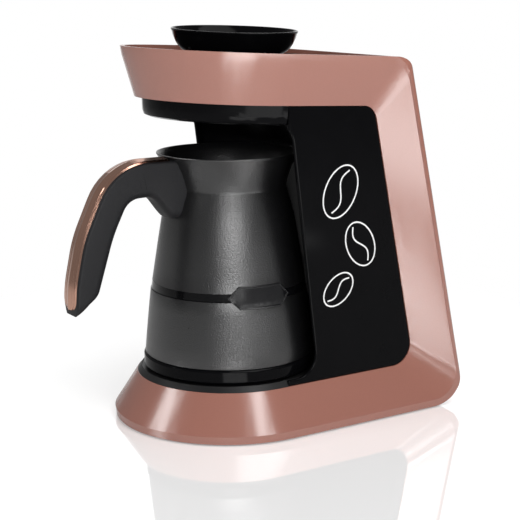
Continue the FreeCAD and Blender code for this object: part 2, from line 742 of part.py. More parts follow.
def make_electrics():
    """The board in the rear column with what stands on it, its carrier and screws, and the cord gland."""
    back = carrier_rear_y()
    face = back + board_wall
    keep("board_carrier", block(-44, 44, back - carrier_wall, back, deck_rim_z, 156))
    board = block(-40, 40, back, face, 44, 150)
    holes = [(x, z) for x in (-35, 35) for z in (49, 145)]
    keep("main_board", board.cut([rod(1.3, back - 1, face + 1, x, z, 8) for x, z in holes]))
    screws = [rod(2.4, face, face + 1.6, x, z, 12).fuse(rod(1.3, back, face, x, z, 8)) for x, z in holes]
    keep("board_screws", Part.makeCompound(screws))
    keep("power_relay", block(-30, -14, face, face + 16.4, 60, 79))
    keep("filter_capacitor", rod(8.0, face, face + 12.4, 17, 62, 16))
    core = block(-2, 24, face + 4, face + 14.4, 84, 102)
    keep("transformer", core.fuse(block(2, 20, face, face + 18.4, 80, 106)))
    keep("buzzer", rod(6.0, face, face + 8, -24, 104, 16))
    keep("cord_gland", gland_barrel().fuse(gland_flange()).cut(gland_bore()))


def gland_barrel():
    """The cord gland's barrel, through the rear wall near the foot."""
    y = rear_line(shell_rear_y, gland_z)
    return rod(gland_radius, y - 10, y + 2, gland_x, gland_z, 24)


def gland_flange():
    y = rear_line(shell_rear_y, gland_z)
    return rod(gland_radius + 2, y - 10, y - 7.5, gland_x, gland_z, 24)


def gland_bore():
    y = rear_line(shell_rear_y, gland_z)
    return rod(gland_bore_radius, y - 12, y + 8, gland_x, gland_z, 24)


make_outer_shell()
make_panels_and_housing()
make_column_liner()
make_arm_hood()
make_deck()
make_pot()
make_pot_underside()
make_handle()
make_top()
make_lid()
make_underside()
make_electrics()

os.makedirs("parts", exist_ok=True)
extent = Part.makeCompound(list(pieces.values())).optimalBoundingBox(True, False)
overall_shift_y = -(extent.YMin + extent.YMax) / 2.0
print("shift", overall_shift_y, extent)
for name, shape in pieces.items():
    moved = shape.copy()
    moved.translate(V(0, overall_shift_y, 0))
    print(name, "solids", len(moved.Solids), "valid", moved.isValid(), "volume", round(moved.Volume, 1))
    moved.exportStep("parts/" + name + ".step")
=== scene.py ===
import json
import math

import bpy
from bpy.props import FloatProperty, FloatVectorProperty, IntProperty, PointerProperty
from bpy.types import Operator, Panel, PropertyGroup
from mathutils import Matrix, Vector


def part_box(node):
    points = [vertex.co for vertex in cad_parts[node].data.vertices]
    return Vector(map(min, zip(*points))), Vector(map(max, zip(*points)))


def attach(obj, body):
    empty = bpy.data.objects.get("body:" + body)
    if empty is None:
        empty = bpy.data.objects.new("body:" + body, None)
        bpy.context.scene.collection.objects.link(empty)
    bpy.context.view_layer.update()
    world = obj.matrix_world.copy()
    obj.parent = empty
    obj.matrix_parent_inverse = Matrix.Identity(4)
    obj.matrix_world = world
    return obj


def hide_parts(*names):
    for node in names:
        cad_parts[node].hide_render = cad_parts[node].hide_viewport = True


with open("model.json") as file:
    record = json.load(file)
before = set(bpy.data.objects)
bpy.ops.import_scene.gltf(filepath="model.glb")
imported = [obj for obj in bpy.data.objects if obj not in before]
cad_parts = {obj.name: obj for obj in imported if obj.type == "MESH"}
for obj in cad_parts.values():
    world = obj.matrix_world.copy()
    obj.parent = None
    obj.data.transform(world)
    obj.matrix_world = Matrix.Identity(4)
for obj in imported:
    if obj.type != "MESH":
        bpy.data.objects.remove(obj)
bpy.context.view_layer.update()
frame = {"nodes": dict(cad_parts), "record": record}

bl_info = {
    "name": "Electric coffee maker",
    "version": (1, 0, 0),
    "blender": (4, 5, 0),
    "location": "3D View > Sidebar > Coffee maker",
    "description": "Finishes and detailed pieces for an electric coffee maker with a lift-off pot",
    "category": "Object",
}

# The pot's axis: the power socket stands on it
socket_low, socket_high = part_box("power_socket")
POT_Y = (socket_low.y + socket_high.y) / 2.0

# Side views and sections are listed in millimetres, everything else is in metres
MM = 0.001
# A new primitive's size before its points are placed
START_SIZE = 0.01
# Points closer than this are one point: in a copy of a CAD node and in a new piece
NODE_MERGE = 0.000004
PIECE_MERGE = 0.000002
# Lengths and shares that count as nothing
TINY = 1e-9
CLOSE = 1e-6
WHITE = (1, 1, 1, 1)


class StudioSettings(PropertyGroup):
    """Where the camera stands and how the studio is lit."""

    eye: FloatVectorProperty(
        name="Camera position", description="Place of the lens from the pot's axis at table height",
        default=(0.68025, -0.41506, 0.26369), subtype="XYZ", unit="LENGTH")
    heading: FloatProperty(
        name="Heading", description="Turn of the view from straight at the back, towards the left side",
        default=math.radians(57.2162), subtype="ANGLE")
    pitch: FloatProperty(
        name="Pitch", description="How far the view looks down",
        default=math.radians(11.9654), subtype="ANGLE")
    roll: FloatProperty(
        name="Roll", description="Turn of the picture about the line of sight",
        default=math.radians(-0.2224), subtype="ANGLE")
    lens: FloatProperty(name="Lens", description="Focal length in millimetres", default=91.763)
    air: FloatProperty(name="Air", description="Strength of the even light from all round", default=0.25)
    floor_reach: FloatProperty(
        name="Floor", description="Half the width of the pale floor", default=3.0, unit="LENGTH")
    shadow_near: FloatProperty(
        name="Shadow fades from", description="Distance at which the floor starts to turn white",
        default=0.20, unit="LENGTH")
    shadow_far: FloatProperty(
        name="Shadow gone at", description="Distance from which the floor is all white",
        default=0.36, unit="LENGTH")


class PieceSizes(PropertyGroup):
    """Sizes of the pieces that are remade with their rounded forms."""

    frame_round: FloatProperty(
        name="Frame edges", description="Round on the painted frame's creases",
        default=0.0007, unit="LENGTH")
    panel_round: FloatProperty(
        name="Panel edges", description="Round on the gloss panels' edges", default=0.0009, unit="LENGTH")
    hood_round: FloatProperty(
        name="Hood edges", description="Round on the hood under the arm", default=0.0005, unit="LENGTH")
    deck_round: FloatProperty(
        name="Deck edges", description="Round on the deck that the pot stands on",
        default=0.0004, unit="LENGTH")
    top_round: FloatProperty(
        name="Top edges", description="Round on the panel in the arm's top", default=0.0003, unit="LENGTH")
    badge_round: FloatProperty(
        name="Badge edges", description="Round on the pot's bare badge", default=0.00025, unit="LENGTH")
    foot_round: FloatProperty(
        name="Foot edges", description="Round on the pot's foot ring", default=0.0004, unit="LENGTH")
    grip_width: FloatProperty(
        name="Grip width", description="Width of the pot's handle", default=0.0192, unit="LENGTH")
    grip_inner_round: FloatProperty(
        name="Grip's inner round", description="Round on the side that the fingers hold",
        default=0.0058, unit="LENGTH")
    grip_outer_round: FloatProperty(
        name="Grip's outer round", description="Round beside the bright strip",
        default=0.0015, unit="LENGTH")
    print_line: FloatProperty(
        name="Printed line", description="Width of the drawing's lines", default=0.0009, unit="LENGTH")
    rim_sides: IntProperty(
        name="Sides of a round", description="Facets round the pot and the dish", default=128, min=32)


class FinishColours(PropertyGroup):
    """Colours of the coffee maker's finishes, in linear light."""

    rose_paint: FloatVectorProperty(
        name="Frame paint", description="Satin paint of the C-shaped frame",
        default=(0.33, 0.128, 0.092), subtype="COLOR", min=0, max=1)
    pot_coat: FloatVectorProperty(
        name="Pot coating", description="Anthracite coating of the pot with fine sparkle",
        default=(0.005, 0.005, 0.0055), subtype="COLOR", min=0, max=1)
    grip: FloatVectorProperty(
        name="Grip", description="Fine-textured dark plastic of the handle",
        default=(0.009, 0.009, 0.0105), subtype="COLOR", min=0, max=1)


def studio():
    """The camera's and the lights' settings."""
    return bpy.context.scene.coffee_studio


def sizes():
    """The sizes of the remade pieces."""
    return bpy.context.scene.coffee_sizes


def colours():
    """The colours that can be changed."""
    return bpy.context.scene.coffee_colours


def new_material(name):
    """A material with a Principled shader, its node list and its links."""
    material = bpy.data.materials.new(name)
    material.use_nodes = True
    nodes, links = material.node_tree.nodes, material.node_tree.links
    return material, nodes, links, nodes["Principled BSDF"]


def mixed(nodes, links, share, first, second):
    """The output of two shaders mixed by the share of the second."""
    mix = nodes.new("ShaderNodeMixShader")
    links.new(share, mix.inputs[0])
    links.new(first, mix.inputs[1])
    links.new(second, mix.inputs[2])
    return mix.outputs[0]


def white_glow(nodes, strength=1.0):
    """The output of a white emission shader."""
    glow = nodes.new("ShaderNodeEmission")
    glow.inputs["Color"].default_value = WHITE
    glow.inputs["Strength"].default_value = strength
    return glow.outputs[0]


# Detail of the mottling and of the grain, and where the mottling's dark and light tone begin
CLOUD_DETAIL = 4.0
GRAIN_DETAIL = 2.0
DARK_FROM = 0.3
LIGHT_FROM = 0.7
GRAIN_DEPTH = 0.0002
LEAST_ROUGHNESS = 0.02


def tone(colour, factor):
    """A colour made lighter or darker, with its alpha."""
    return tuple(min(1.0, c * factor) for c in colour) + (1.0,)


def noise(nodes, links, scale, detail):
    """The output of a cloudy pattern that stays in place on the piece."""
    place = nodes.new("ShaderNodeTexCoord")
    cloud = nodes.new("ShaderNodeTexNoise")
    cloud.inputs["Scale"].default_value = scale
    cloud.inputs["Detail"].default_value = detail
    links.new(place.outputs["Object"], cloud.inputs["Vector"])
    return cloud.outputs["Fac"]


def surface(name, colour, metallic=0.0, roughness=0.4, specular=0.5, ior=1.5, mottle=0.06,
            mottle_scale=60.0, grain=0.0, grain_scale=900.0, rough_spread=0.06):
    """A finish with mottled colour, uneven gloss and a fine grain, all from object coordinates."""
    material, nodes, links, shader = new_material(name)
    shader.inputs["Metallic"].default_value = metallic
    shader.inputs["Specular IOR Level"].default_value = specular
    shader.inputs["IOR"].default_value = ior
    cloud = noise(nodes, links, mottle_scale, CLOUD_DETAIL)
    ramp = nodes.new("ShaderNodeValToRGB")
    ramp.color_ramp.elements[0].position = DARK_FROM
    ramp.color_ramp.elements[1].position = LIGHT_FROM
    ramp.color_ramp.elements[0].color = tone(colour, 1.0 - mottle)
    ramp.color_ramp.elements[1].color = tone(colour, 1.0 + mottle)
    links.new(cloud, ramp.inputs["Fac"])
    links.new(ramp.outputs["Color"], shader.inputs["Base Color"])
    spread = nodes.new("ShaderNodeMapRange")
    spread.inputs["To Min"].default_value = max(LEAST_ROUGHNESS, roughness - rough_spread)
    spread.inputs["To Max"].default_value = roughness + rough_spread
    links.new(cloud, spread.inputs["Value"])
    links.new(spread.outputs["Result"], shader.inputs["Roughness"])
    if grain > 0:
        bump = nodes.new("ShaderNodeBump")
        bump.inputs["Strength"].default_value = grain
        bump.inputs["Distance"].default_value = GRAIN_DEPTH
        links.new(noise(nodes, links, grain_scale, GRAIN_DETAIL), bump.inputs["Height"])
        links.new(bump.outputs["Normal"], shader.inputs["Normal"])
    return material


def make_finishes():
    """Every finish of the coffee maker, by the record's slot name."""
    c = colours()
    return {
        "rose_paint": surface(
            "rose_satin_paint", c.rose_paint, roughness=0.2, ior=2.0, mottle=0.03, mottle_scale=1500.0,
            grain=0.06, grain_scale=2600.0, rough_spread=0.02),
        "black_gloss": surface(
            "black_gloss_moulding", (0.0025, 0.0025, 0.003), roughness=0.1, specular=0.07, mottle=0.1,
            rough_spread=0.02),
        "black_satin": surface(
            "black_satin_moulding", (0.010, 0.010, 0.0105), roughness=0.4, specular=0.3, grain=0.08,
            mottle=0.1),
        "pot_coat": surface(
            "anthracite_sparkle_coat", c.pot_coat, roughness=0.3, specular=1.0, mottle=0.35,
            mottle_scale=1500.0, grain=0.8, grain_scale=1300.0),
        "pot_band": surface("gloss_black_band", (0.003, 0.003, 0.0035), roughness=0.12, specular=0.3),
        "badge_metal": surface("dark_badge_plate", (0.006, 0.006, 0.007), roughness=0.2, specular=0.5),
        "grip_plastic": surface(
            "textured_grip_plastic", c.grip, roughness=0.55, specular=0.3, grain=0.5, grain_scale=1800.0,
            mottle=0.15, mottle_scale=900.0),
        "rose_polish": surface(
            "polished_rose_strip", (0.62, 0.36, 0.27), metallic=1.0, roughness=0.14, mottle=0.03,
            rough_spread=0.03),
        "steel": surface("brushed_steel", (0.55, 0.55, 0.56), metallic=1.0, roughness=0.3),
        "aluminium": surface("cast_aluminium", (0.6, 0.6, 0.62), metallic=1.0, roughness=0.4),
        "brass": surface("contact_brass", (0.7, 0.5, 0.22), metallic=1.0, roughness=0.25),
        "board_green": surface("board_lacquer", (0.02, 0.13, 0.05), roughness=0.35),
        "component_black": surface("component_moulding", (0.02, 0.02, 0.02), roughness=0.5),
        "capacitor_blue": surface("capacitor_sleeve", (0.03, 0.06, 0.22), roughness=0.3),
        "relay_white": surface("relay_moulding", (0.6, 0.6, 0.58), roughness=0.45),
        "rubber": surface("soft_rubber", (0.02, 0.02, 0.02), roughness=0.75, specular=0.25, grain=0.2),
        "lens": surface("light_pipe", (0.35, 0.35, 0.36), roughness=0.15),
        "white_print": surface("white_print", (0.82, 0.82, 0.82), roughness=0.45, mottle=0.03),
    }


finishes = {}


def finish(slot):
    """The finish of a slot; all are made when the first one is asked for."""
    if not finishes:
        finishes.update(make_finishes())
    return finishes[slot]


class COFFEE_OT_finish_nodes(Operator):
    """Give every piece carried over from the CAD model the finish of its slot"""

    bl_idname = "coffee.finish_nodes"
    bl_label = "Finish the carried-over pieces"

    def execute(self, context):
        for part in frame["record"]["subparts"]:
            node = frame["nodes"][part["node"]]
            node.data.materials.clear()
            node.data.materials.append(finish(part["material_slot"]))
        return {"FINISHED"}


def pick(piece):
    """Make one object the only selected one, and the active one."""
    bpy.ops.object.select_all(action="DESELECT")
    piece.select_set(True)
    bpy.context.view_layer.objects.active = piece


def edit(piece):
    """Open a piece in edit mode with everything selected."""
    pick(piece)
    bpy.ops.object.mode_set(mode="EDIT")
    bpy.ops.mesh.select_mode(type="EDGE")
    bpy.ops.mesh.select_all(action="SELECT")


def leave_edit():
    """Go back to object mode."""
    bpy.ops.object.mode_set(mode="OBJECT")


def apply_all(piece):
    """Apply a piece's modifiers in their order."""
    pick(piece)
    for modifier in list(piece.modifiers):
        bpy.ops.object.modifier_apply(modifier=modifier.name)


def smooth(piece, angle=35.0):
    """Shade a piece smooth, with sharp edges where faces meet at more than an angle in degrees."""
    pick(piece)
    bpy.ops.object.shade_smooth_by_angle(angle=math.radians(angle))


def face_outwards(piece):
    """Turn all faces of a closed piece to its outside."""
    edit(piece)
    bpy.ops.mesh.normals_make_consistent(inside=False)
    leave_edit()


def settle(piece, body, slot, *nodes):
    """Finish a piece, let it ride on its body, and hide the CAD nodes that it stands for."""
    pick(piece)
    bpy.ops.object.transform_apply(location=True, rotation=True, scale=True)
    piece.data.materials.clear()
    piece.data.materials.append(finish(slot))
    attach(piece, body)
    if nodes:
        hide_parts(*nodes)


# Faces of a copied node that lean less than this against each other become one, in degrees
FLAT_ANGLE = 0.6


def softened(node, name, width, segments=2, angle=22.0):
    """A copy of a CAD node with clean faces and a small round along its sharp edges."""
    piece = bpy.data.objects.new(name, frame["nodes"][node].data.copy())
    bpy.context.scene.collection.objects.link(piece)
    edit(piece)
    bpy.ops.mesh.remove_doubles(threshold=NODE_MERGE)
    bpy.ops.mesh.dissolve_limited(angle_limit=math.radians(FLAT_ANGLE))
    leave_edit()
    smooth(piece, angle=40.0)
    bevel = piece.modifiers.new("rounded_edges", "BEVEL")
    bevel.width = width
    bevel.segments = segments
    bevel.limit_method = "ANGLE"
    bevel.angle_limit = math.radians(angle)
    weighted = piece.modifiers.new("flat_faces", "WEIGHTED_NORMAL")
    weighted.keep_sharp = True
    apply_all(piece)
    return piece


def turned(name, stations, y=POT_Y, ring=True):
    """A round piece: a circle drawn out ring by ring through (radius, height) stations in millimetres."""
    bpy.ops.object.select_all(action="DESELECT")
    bpy.ops.mesh.primitive_circle_add(
        vertices=sizes().rim_sides, radius=stations[0][0] * MM, location=(0, 0, 0),
        fill_type="NOTHING" if ring else "NGON")
    piece = bpy.context.object
    piece.name = name
    for vertex in piece.data.vertices:
        vertex.co += Vector((0, y, stations[0][1] * MM))
    edit(piece)
    for (r0, z0), (r1, z1) in zip(stations, stations[1:]):
        bpy.ops.mesh.extrude_region_move(TRANSFORM_OT_translate={"value": (0, 0, (z1 - z0) * MM)})
        bpy.ops.transform.resize(value=(r1 / r0, r1 / r0, 1), center_override=(0, y, z1 * MM))
    if ring:
        bpy.ops.mesh.select_all(action="SELECT")
        bpy.ops.mesh.remove_doubles(threshold=PIECE_MERGE)
    leave_edit()
    face_outwards(piece)
    return piece


# Straight pieces that stand for the arc at a rounded corner
ARC_STEPS = 9


def rounded_line(corners):
    """Points of a side view from (depth, height, radius) corners in millimetres."""
    points = []
    for i, (y, z, radius) in enumerate(corners):
        corner = Vector((y, z))
        if radius <= 0:
            points.append(corner)
            continue
        before = (Vector(corners[i - 1][:2]) - corner).normalized()
        after = (Vector(corners[(i + 1) % len(corners)][:2]) - corner).normalized()
        half = before.angle(after) / 2.0
        centre = corner + (before + after).normalized() * radius / math.sin(half)
        a = corner + before * radius / math.tan(half) - centre
        b = corner + after * radius / math.tan(half) - centre
        whole = math.atan2(a.x * b.y - a.y * b.x, a.dot(b))
        for k in range(ARC_STEPS + 1):
            t = whole * k / ARC_STEPS
            points.append(centre + Vector((a.x * math.cos(t) - a.y * math.sin(t),
                                           a.x * math.sin(t) + a.y * math.cos(t))))
    return points


def cut(piece, tool):
    """Take the form of a tool out of a piece, and remove the tool."""
    boolean = piece.modifiers.new("cut", "BOOLEAN")
    boolean.operation = "DIFFERENCE"
    boolean.solver = "EXACT"
    boolean.object = tool
    apply_all(piece)
    bpy.data.objects.remove(tool, do_unlink=True)


class COFFEE_OT_frame_shell(Operator):
    """Round the creases and lips of the painted C-shaped frame"""

    bl_idname = "coffee.frame_shell"
    bl_label = "Painted frame"

    def execute(self, context):
        piece = softened("outer_shell", "painted_frame", sizes().frame_round, angle=16.0)
        settle(piece, "housing", "rose_paint", "outer_shell")
        return {"FINISHED"}


class COFFEE_OT_inner_body(Operator):
    """Round the edges of the black inner body: panels, hood, deck and top"""

    bl_idname = "coffee.inner_body"
    bl_label = "Black inner body"

    def execute(self, context):
        s = sizes()
        for side in ("right", "left"):
            panel = softened("side_panel_" + side, "gloss_panel_" + side, s.panel_round, segments=3)
            settle(panel, "housing", "black_gloss", "side_panel_" + side)
        settle(softened("arm_hood", "arm_hood_moulding", s.hood_round), "housing", "black_gloss", "arm_hood")
        settle(softened("base_deck", "deck_moulding", s.deck_round), "housing", "black_satin", "base_deck")
        settle(softened("top_panel", "gloss_top", s.top_round), "housing", "black_gloss", "top_panel")
        return {"FINISHED"}


# The pot's section as (radius, height): up its outside, over its rim, down its inside, round its floor
POT_SIDE = [
    (51.0, 39.5), (51.6, 39.8), (51.8, 40.6), (51.0, 50.0), (49.9, 61.0), (48.9, 70.5),
    (47.95, 78.9), (47.75, 79.35)]
POT_GROOVE = [(46.72, 79.4), (46.72, 84.4)]
POT_NECK = [
    (46.9, 84.45), (46.75, 84.9), (45.3, 94.0), (43.2, 107.0), (40.4, 123.7), (37.3, 134.5),
    (35.35, 140.6), (35.1, 141.5), (35.3, 142.5), (36.6, 147.6), (38.5, 152.9), (40.9, 158.0),
    (42.5, 160.8), (43.05, 161.6)]
POT_RIM = [(43.1, 162.0), (42.9, 162.35), (42.4, 162.4), (41.9, 162.1)]
POT_INSIDE = [
    (39.3, 157.9), (36.6, 152.6), (34.6, 147.0), (33.6, 141.5), (35.6, 134.5), (38.7, 123.7),
    (41.5, 107.0), (45.0, 84.4), (48.0, 61.0), (49.3, 45.5), (48.6, 42.4), (46.8, 41.2)]
POT_FLOOR = [(20.0, 41.1), (0.5, 41.1), (0.5, 39.5), (20.0, 39.5), (51.0, 39.5)]
# The trim ring's section in the groove
TRIM_RING = [
    (46.8, 79.5), (47.3, 79.5), (47.5, 79.8), (46.85, 84.0), (46.8, 84.3), (46.7, 84.3),
    (46.7, 79.5), (46.8, 79.5)]


class COFFEE_OT_pot(Operator):
    """The pot's vessel with its groove and rolled rim, its trim ring, bare badge plate and foot ring"""

    bl_idname = "coffee.pot"
    bl_label = "Pot"

    def execute(self, context):
        s = sizes()
        vessel = turned("pot_vessel", POT_SIDE + POT_GROOVE + POT_NECK + POT_RIM + POT_INSIDE + POT_FLOOR)
        smooth(vessel, angle=32.0)
        settle(vessel, "pot", "pot_coat", "pot_body")
        band = turned("trim_ring", TRIM_RING)
        smooth(band)
        settle(band, "pot", "pot_band", "pot_band")
        badge = softened("pot_badge", "badge_plate", s.badge_round, segments=3)
        settle(badge, "pot", "badge_metal", "pot_badge")
        foot = softened("pot_skirt", "pot_foot_ring", s.foot_round, segments=3)
        settle(foot, "pot", "black_gloss", "pot_skirt")
        return {"FINISHED"}


# Side view of the grip as (depth, height, radius) corners: its outer face, then the fingers' side
GRIP_OUTER = [
    (-20.0, 160.3, 0), (-80.3, 160.3, 35.0), (-100.1, 118.3, 80.0), (-106.2, 90.1, 80.0),
    (-106.2, 74.6, 0)]
GRIP_INNER = [
    (-106.3, 74.4, 0), (-91.0, 85.8, 10.0), (-80.4, 119.3, 90.0), (-70.3, 139.4, 11.5),
    (-54.5, 139.9, 9.0), (-46.6, 129.5, 3.0), (-43.5, 126.0, 0), (-20.0, 122.0, 0)]
# The grip's sections lie this far apart, and none is thinner than the least depth
GRIP_STEP = 1.6
GRIP_LEAST_DEPTH = 0.4
# Height of the grip's rounded low end, and the least share of its width there, squared
GRIP_LOW_END = 73.2
GRIP_END_SHARE = 0.02
# The grip reaches this far into the pot's side, and the tool that cuts it ends above the pot
GRIP_BITE = 0.05
CUTTER_TOP = (43.0, 175.0)
# Steps of the section's corners beside the strip and at the fingers
STRIP_SIDE_STEPS = 4
FINGER_SIDE_STEPS = 8

# Section of the strip from its middle to its side, as (share of its half width, height over the grip)
STRIP_SECTION = [
    (0.0, 1.25), (0.07, 1.15), (0.48, 0.62), (0.55, 0.75), (0.78, 0.45), (0.86, 0.2), (0.94, 0.35),
    (1.0, -0.4)]
STRIP_STEP = 1.0
STRIP_HALF_WIDTH = 7.1
STRIP_THICKNESS = 0.0006
# Height of the strip's rounded low end, the height its sections start above, and its depth at the root
STRIP_LOW_END = 78.2
STRIP_FIRST_HEIGHT = 78.3
STRIP_ROOT_DEPTH = -43.4
# Least half width of the rounded end, squared
STRIP_END_SQUARE = 0.5


def stepped(points, step):
    """Points at even steps along a line of points, each with the line's direction."""
    out, left = [], 0.0
    for a, b in zip(points, points[1:]):
        length = (b - a).length
        if length < TINY:
            continue
        along = (b - a) / length
        while left <= length:
            out.append((a + along * left, along))
            left += step
        left -= length
    return out


def sheet_of_rings(name, rings, closed):
    """A grid whose rows are rings of points, made one skin; closed rings end where they start."""
    bpy.ops.object.select_all(action="DESELECT")
    columns = len(rings[0]) + (1 if closed else 0)
    bpy.ops.mesh.primitive_grid_add(
        x_subdivisions=columns - 1, y_subdivisions=len(rings) - 1, size=START_SIZE, location=(0, 0, 0))
    piece = bpy.context.object
    piece.name = name
    for row, ring in enumerate(rings):
        for column in range(columns):
            piece.data.vertices[row * columns + column].co = ring[column % len(ring)]
    edit(piece)
    bpy.ops.mesh.remove_doubles(threshold=PIECE_MERGE)
    leave_edit()
    return piece


def beside(x, point, way, distance):
    """A place in metres, off a point of the side view by a distance in one direction."""
    return Vector((x * MM, (point.x + way.x * distance) * MM + POT_Y, (point.y + way.y * distance) * MM))


class COFFEE_OT_handle(Operator):
    """The grip with its rounded inner side, and the ridged polished strip in its outer face"""

    bl_idname = "coffee.handle"
    bl_label = "Handle"

    def execute(self, context):
        outer = rounded_line(GRIP_OUTER)
        grip = self.grip(stepped(outer, GRIP_STEP), rounded_line(GRIP_INNER))
        side = [(r - GRIP_BITE, z) for r, z in POT_SIDE + POT_NECK]
        cut(grip, turned("pot_outside", side + [CUTTER_TOP], ring=False))
        smooth(grip, angle=30.0)
        settle(grip, "pot", "grip_plastic", "handle_grip")
        strip = self.strip(stepped(outer, STRIP_STEP))
        settle(strip, "pot", "rose_polish", "handle_strip")
        return {"FINISHED"}

    def grip(self, stations, inner):
        """The grip's closed skin, before the pot's side is cut out of its root."""
        half = sizes().grip_width / MM / 2.0
        rings = []
        for point, along in stations:
            way = Vector((-along.y, along.x))
            depth = self.depth(point, way, inner)
            if depth is None or depth < GRIP_LEAST_DEPTH:
                continue
            low = min(1.0, max(0.0, (point.y - GRIP_LOW_END) / half))
            width = half * math.sqrt(max(GRIP_END_SHARE, 1.0 - (1.0 - low) ** 2))
            rings.append(self.ring(point, way, depth, width))
        grip = sheet_of_rings("pot_grip", rings, True)
        edit(grip)
        bpy.ops.mesh.fill_holes(sides=0)
        leave_edit()
        face_outwards(grip)
        return grip

    def depth(self, point, way, line):
        """How far it is from a point to a line of points, in one direction."""
        best = None
        for a, b in zip(line, line[1:]):
            along = b - a
            cross = way.x * along.y - way.y * along.x
            if abs(cross) < TINY:
                continue
            gap = a - point
            t = (gap.x * along.y - gap.y * along.x) / cross
            u = (gap.x * way.y - gap.y * way.x) / cross
            if t > 0 and -CLOSE <= u <= 1 + CLOSE and (best is None or t < best):
                best = t
        return best

    def ring(self, point, way, depth, half):
        """Points round the grip: nearly square at the strip, well rounded at the fingers."""
        s = sizes()
        sharp = min(s.grip_outer_round / MM, depth * 0.3, half * 0.5)
        soft = min(s.grip_inner_round / MM, depth * 0.6, half * 0.8)
        corners = (
            (1, True, sharp, STRIP_SIDE_STEPS), (1, False, soft, FINGER_SIDE_STEPS),
            (-1, False, soft, FINGER_SIDE_STEPS), (-1, True, sharp, STRIP_SIDE_STEPS))
        points = []
        for side, at_strip, radius, steps in corners:
            widening = (side > 0) == at_strip
            for k in range(steps + 1):
                t = math.pi / 2 * k / steps
                across, down = (math.sin(t), 1 - math.cos(t)) if widening else (math.cos(t), 1 - math.sin(t))
                x = side * (half - radius + radius * across)
                points.append(beside(x, point, way, radius * down if at_strip else depth - radius * down))
        return points

    def strip(self, stations):
        """The bright strip's ridged sheet with its rounded low end."""
        half = STRIP_HALF_WIDTH
        section = [(-u, h) for u, h in reversed(STRIP_SECTION[1:])] + STRIP_SECTION
        rings = []
        for point, along in stations:
            if point.x >= STRIP_ROOT_DEPTH or point.y <= STRIP_FIRST_HEIGHT:
                continue
            above = min(half, point.y - STRIP_LOW_END)
            width = math.sqrt(max(STRIP_END_SQUARE, half ** 2 - (half - above) ** 2))
            out = Vector((along.y, -along.x))
            rings.append([beside(u * width, point, out, h) for u, h in section])
        strip = sheet_of_rings("bright_strip", rings, False)
        thick = strip.modifiers.new("thickness", "SOLIDIFY")
        thick.thickness = STRIP_THICKNESS
        apply_all(strip)
        face_outwards(strip)
        smooth(strip, angle=12.0)
        return strip


# Section of the dish above its own foot, as (radius, height)
DISH = [
    (29.6, 0.0), (31.4, 0.9), (33.4, 2.9), (35.2, 5.7), (36.6, 8.9), (37.4, 11.6), (37.9, 12.3),
    (37.9, 12.9), (37.6, 13.2), (37.1, 13.2), (36.6, 12.6), (35.0, 9.4), (32.0, 6.6), (27.0, 4.6),
    (18.0, 3.2), (8.0, 2.7), (0.5, 2.6), (0.5, 0.8), (26.5, 0.8), (27.0, 0.0), (29.6, 0.0)]
# How the dish leans on the top panel, about the X and the Y axis in degrees
DISH_LEAN_X = -1.0
DISH_LEAN_Y = 2.0


class COFFEE_OT_lid_dish(Operator):
    """The dish-shaped lid that lies a little askew on the top panel"""

    bl_idname = "coffee.lid_dish"
    bl_label = "Lid"

    def execute(self, context):
        low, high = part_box("pot_lid")
        dish = turned("lid_dish", DISH, y=0.0)
        about_x = Matrix.Rotation(math.radians(DISH_LEAN_X), 4, "X")
        about_y = Matrix.Rotation(math.radians(DISH_LEAN_Y), 4, "Y")
        dish.data.transform(about_x @ about_y)
        lowest = min(v.co.z for v in dish.data.vertices)
        place = ((low.x + high.x) / 2, (low.y + high.y) / 2, low.z - lowest)
        dish.data.transform(Matrix.Translation(place))
        smooth(dish, angle=40.0)
        settle(dish, "lid", "black_gloss", "pot_lid")
        return {"FINISHED"}


# The printed drawing: how far out the panel's face is, and how high the print stands on it
PRINT_X = 57.0
PRINT_HEIGHT = 0.00008
# Each bean's middle (depth, height), its length, and its lean in degrees
BEANS = [(43.0, 141.0, 33.0, 62.0), (58.0, 108.0, 29.0, 118.0), (42.0, 82.0, 24.0, 38.0)]
# A bean's half length and half breadth, and the reach and the swing of its seam, as shares of its length
BEAN_HALF_LENGTH = 0.5
BEAN_HALF_BREADTH = 0.34
SEAM_REACH = 0.42
SEAM_SWING = 0.09
OVAL_STEPS = 48
SEAM_STEPS = 16


